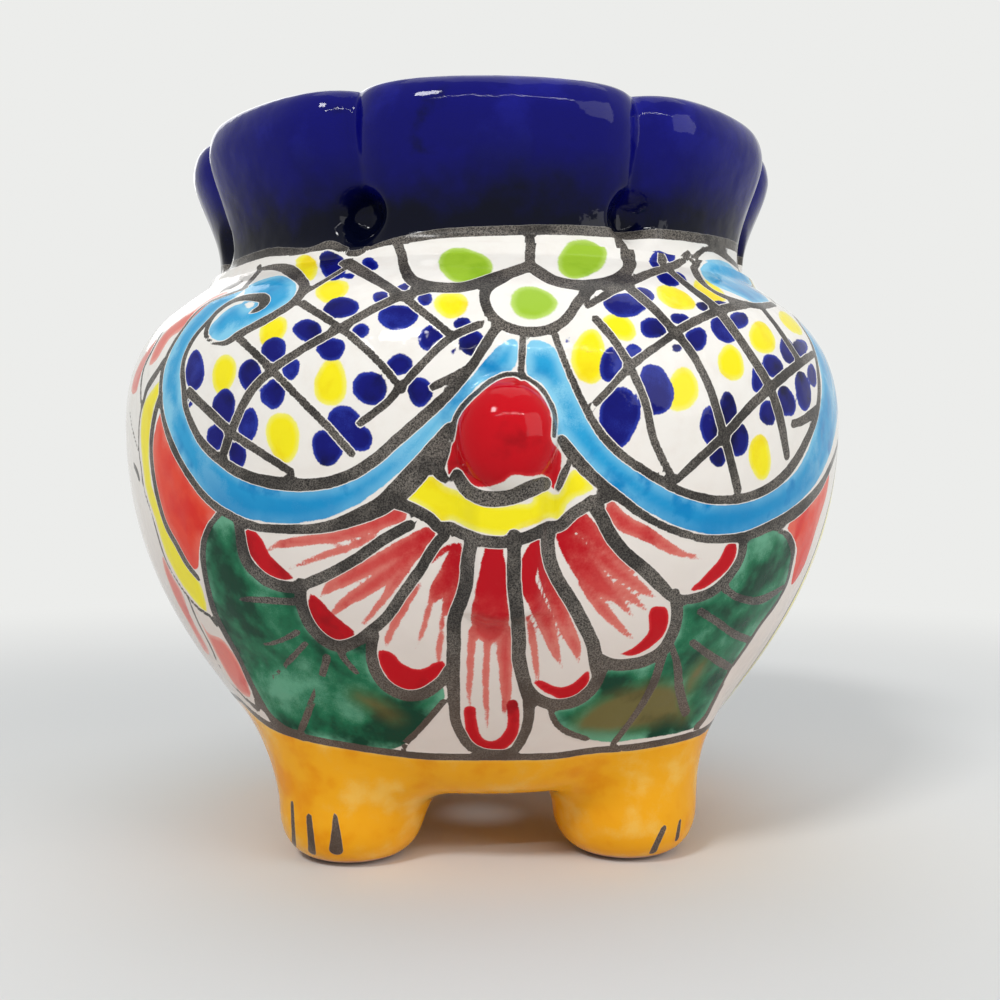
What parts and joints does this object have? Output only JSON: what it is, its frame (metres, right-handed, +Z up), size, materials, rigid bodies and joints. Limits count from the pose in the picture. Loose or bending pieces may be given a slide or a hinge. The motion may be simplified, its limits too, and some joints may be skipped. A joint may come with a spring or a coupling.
{
  "type": "elephant planter",
  "caption": "Round ceramic pot in the form of an elephant, with a ruffled collar, stubby feet, a tail, and a head with a raised trunk; it holds a small plant.",
  "frame": {"origin": "centre of the footprint's bounding box, on the ground that the four soles stand on", "axes": "+Z up, +Y towards the head, -Y towards the tail, +X to the right of someone who looks at the tail"},
  "size_m": [0.1264, 0.171, 0.1195],
  "materials": {
    "painted_white": "glossy white glaze with a hand-painted folk pattern in blue, yellow, red, green and grey-black line",
    "cobalt": "glossy deep cobalt glaze, paler where it runs thin on the lip",
    "amber": "glossy orange-yellow glaze",
    "red": "glossy red glaze, pooled darker in the hollows",
    "sky": "glossy light blue glaze with grey-black outlines",
    "ivory": "glossy ivory glaze"
  },
  "bodies": {
    "root": {"body_shell": "painted_white", "rim_collar": "cobalt", "foot_rear_left": "amber", "foot_rear_right": "amber", "foot_front_left": "amber", "foot_front_right": "amber", "tail": "red", "head": "painted_white", "trunk": "sky", "tusk_left": "ivory", "tusk_right": "ivory", "ear_left": "sky", "ear_right": "sky"}
  },
  "joints": []
}
